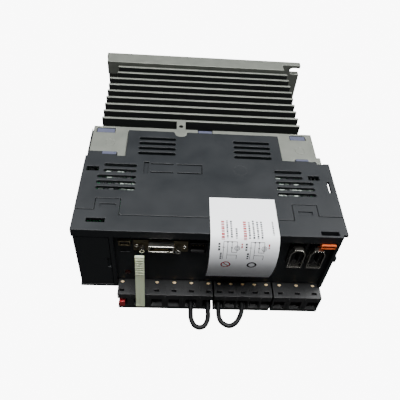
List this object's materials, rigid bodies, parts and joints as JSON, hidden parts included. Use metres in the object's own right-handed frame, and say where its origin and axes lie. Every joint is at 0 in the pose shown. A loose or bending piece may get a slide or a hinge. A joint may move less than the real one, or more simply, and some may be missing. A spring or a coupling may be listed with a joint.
{
  "type": "servo drive",
  "caption": "Wall-mounted servo drive lying on its side: finned heat sink casting, vented plastic case, pull-out terminal plugs with jumper loops, signal sockets and a paper label.",
  "frame": {"origin": "middle of the underside of the box round the drive, measured without its jumper wires, as it lies on its left side", "axes": "+X towards the drive's lower end, +Y from its front to the wall behind it, +Z from its left side up to its right side"},
  "size_m": [0.168, 0.223, 0.0908],
  "materials": {
    "casting": "satin as-cast",
    "casing": "fine matt, dark bluish grey",
    "black_plastic": "satin",
    "plated_steel": "bright nickel",
    "gilt_shell": "bright",
    "board": "solder resist",
    "label_paper": "matt",
    "orange_plastic": "glossy",
    "red_plastic": "glossy",
    "pale_plastic": "satin",
    "white_plastic": "satin",
    "lamp_plastic": "translucent",
    "display_window": "glossy",
    "can_sleeve": "glossy",
    "winding": "enamelled copper",
    "wire_insulation": "satin",
    "earth_brass": "satin"
  },
  "bodies": {
    "root": {"heat_sink": "casting", "rear_case": "casing", "front_cover": "casing", "hinge_pin": "plated_steel", "digit_display": "display_window", "axis_switch_body": "black_plastic", "setting_switch_body": "red_plastic", "charge_lamp": "lamp_plastic", "usb_socket": "plated_steel", "motion_socket_shell": "gilt_shell", "motion_socket_contacts": "black_plastic", "jack_post_1": "plated_steel", "jack_post_2": "plated_steel", "safety_socket": "black_plastic", "optical_socket_1": "black_plastic", "optical_socket_2": "black_plastic", "encoder_socket_1_shell": "plated_steel", "encoder_socket_2_shell": "plated_steel", "encoder_socket_1_insert": "black_plastic", "encoder_socket_2_insert": "black_plastic", "battery_socket": "orange_plastic", "supply_header": "black_plastic", "regen_header": "black_plastic", "motor_header": "black_plastic", "paper_label": "label_paper", "control_board": "board", "terminal_board": "board", "power_board": "board", "power_module": "black_plastic", "module_screw_1": "plated_steel", "module_screw_2": "plated_steel", "bus_capacitor_1": "can_sleeve", "bus_capacitor_2": "can_sleeve", "line_choke": "winding", "inrush_relay": "black_plastic", "fan_frame": "black_plastic", "fan_screw_1": "plated_steel", "fan_screw_2": "plated_steel", "earth_screw_1": "earth_brass", "earth_screw_2": "earth_brass"},
    "display_cover": {"display_cover": "casing"},
    "axis_dial": {"axis_switch_dial": "white_plastic"},
    "supply_plug": {"supply_plug": "black_plastic", "pole_cap": "red_plastic", "supply_jumper": "wire_insulation"},
    "regen_plug": {"regen_plug": "black_plastic", "regen_jumper": "wire_insulation"},
    "motor_plug": {"motor_plug": "black_plastic"},
    "release_lever": {"release_lever": "pale_plastic"},
    "fan_rotor": {"fan_rotor": "black_plastic"},
    "setting_slider_1": {"setting_slider_1": "white_plastic"},
    "setting_slider_2": {"setting_slider_2": "white_plastic"},
    "setting_slider_3": {"setting_slider_3": "white_plastic"},
    "setting_slider_4": {"setting_slider_4": "white_plastic"}
  },
  "joints": [
    {"name": "display_cover_hinge", "type": "hinge", "parent": "root", "child": "display_cover", "pos_m": [-0.0821, -0.08962, 0.0574], "axis": [0, 0, -1], "range_deg": [0, 110]},
    {"name": "axis_dial_turn", "type": "hinge", "parent": "root", "child": "axis_dial", "pos_m": [-0.0705, -0.08732, 0.051], "axis": [0, -1, 0], "continuous": true},
    {"name": "supply_plug_pull", "type": "slide", "parent": "root", "child": "supply_plug", "axis": [0, -1, 0], "range_m": [0, 0.03]},
    {"name": "regen_plug_pull", "type": "slide", "parent": "root", "child": "regen_plug", "axis": [0, -1, 0], "range_m": [0, 0.03]},
    {"name": "motor_plug_pull", "type": "slide", "parent": "root", "child": "motor_plug", "axis": [0, -1, 0], "range_m": [0, 0.03]},
    {"name": "release_lever_tilt", "type": "hinge", "parent": "supply_plug", "child": "release_lever", "pos_m": [-0.0443, -0.10272, 0.025], "axis": [1, 0, 0], "range_deg": [0, 10]},
    {"name": "fan_spin", "type": "hinge", "parent": "root", "child": "fan_rotor", "pos_m": [0.077, 0.05217, 0.026], "axis": [1, 0, 0], "continuous": true},
    {"name": "setting_slider_1_slide", "type": "slide", "parent": "root", "child": "setting_slider_1", "axis": [0, 0, 1], "range_m": [0, 0.0016]},
    {"name": "setting_slider_2_slide", "type": "slide", "parent": "root", "child": "setting_slider_2", "axis": [0, 0, 1], "range_m": [0, 0.0016]},
    {"name": "setting_slider_3_slide", "type": "slide", "parent": "root", "child": "setting_slider_3", "axis": [0, 0, 1], "range_m": [0, 0.0016]},
    {"name": "setting_slider_4_slide", "type": "slide", "parent": "root", "child": "setting_slider_4", "axis": [0, 0, 1], "range_m": [0, 0.0016]}
  ]
}
